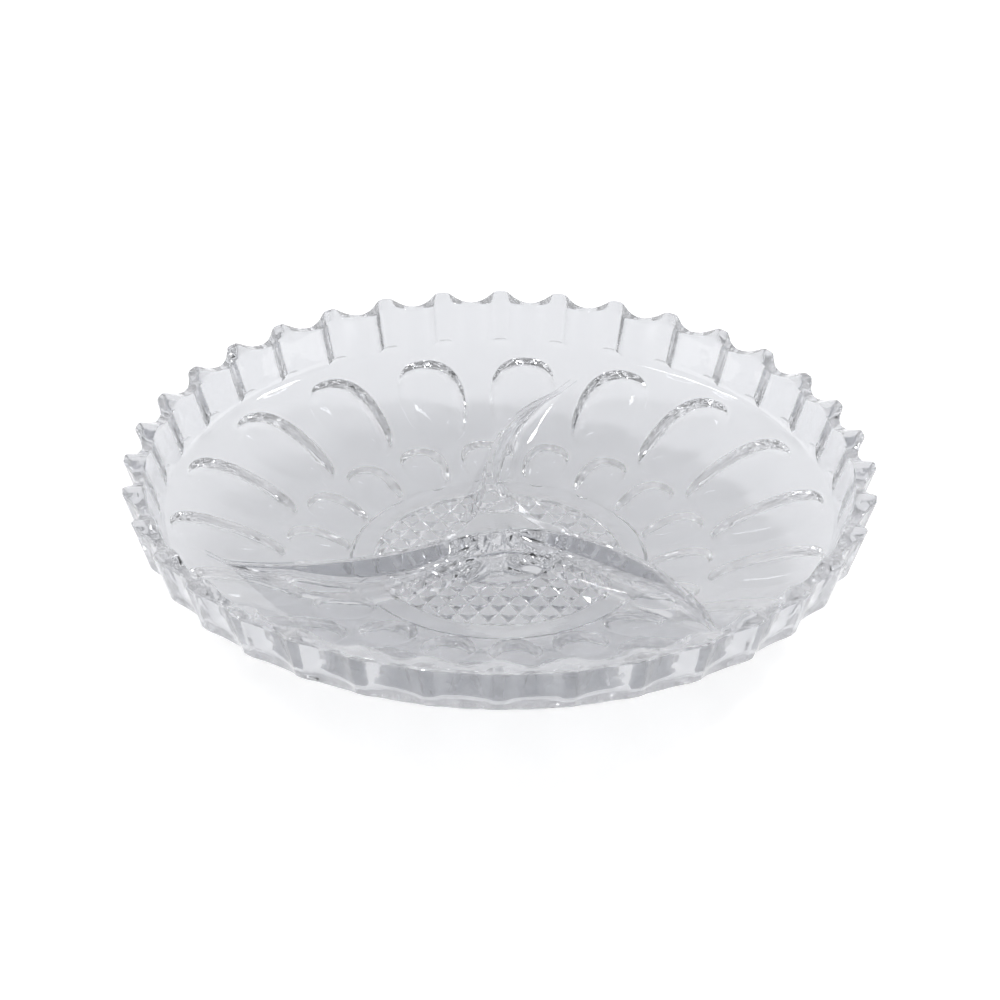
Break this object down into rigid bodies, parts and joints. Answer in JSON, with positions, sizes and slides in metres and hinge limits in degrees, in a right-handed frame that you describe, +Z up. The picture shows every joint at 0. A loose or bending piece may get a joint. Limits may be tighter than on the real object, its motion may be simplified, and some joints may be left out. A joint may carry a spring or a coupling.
{
  "type": "divided serving dish",
  "caption": "Round shallow pressed-glass dish with a toothed, fluted rim and low curved dividers that part its sloping floor into compartments for chips, dips and relishes.",
  "frame": {"origin": "centre of the foot ring, on the plane that the dish stands on", "axes": "+Z up along the dish's axis; +Y through one tooth of the rim and along one divider"},
  "size_m": [0.27, 0.27, 0.046],
  "materials": {
    "clear_glass": "clear colourless pressed glass, fire polished, with crisp moulded pattern edges"
  },
  "bodies": {
    "root": {"dish": "clear_glass"}
  },
  "joints": []
}
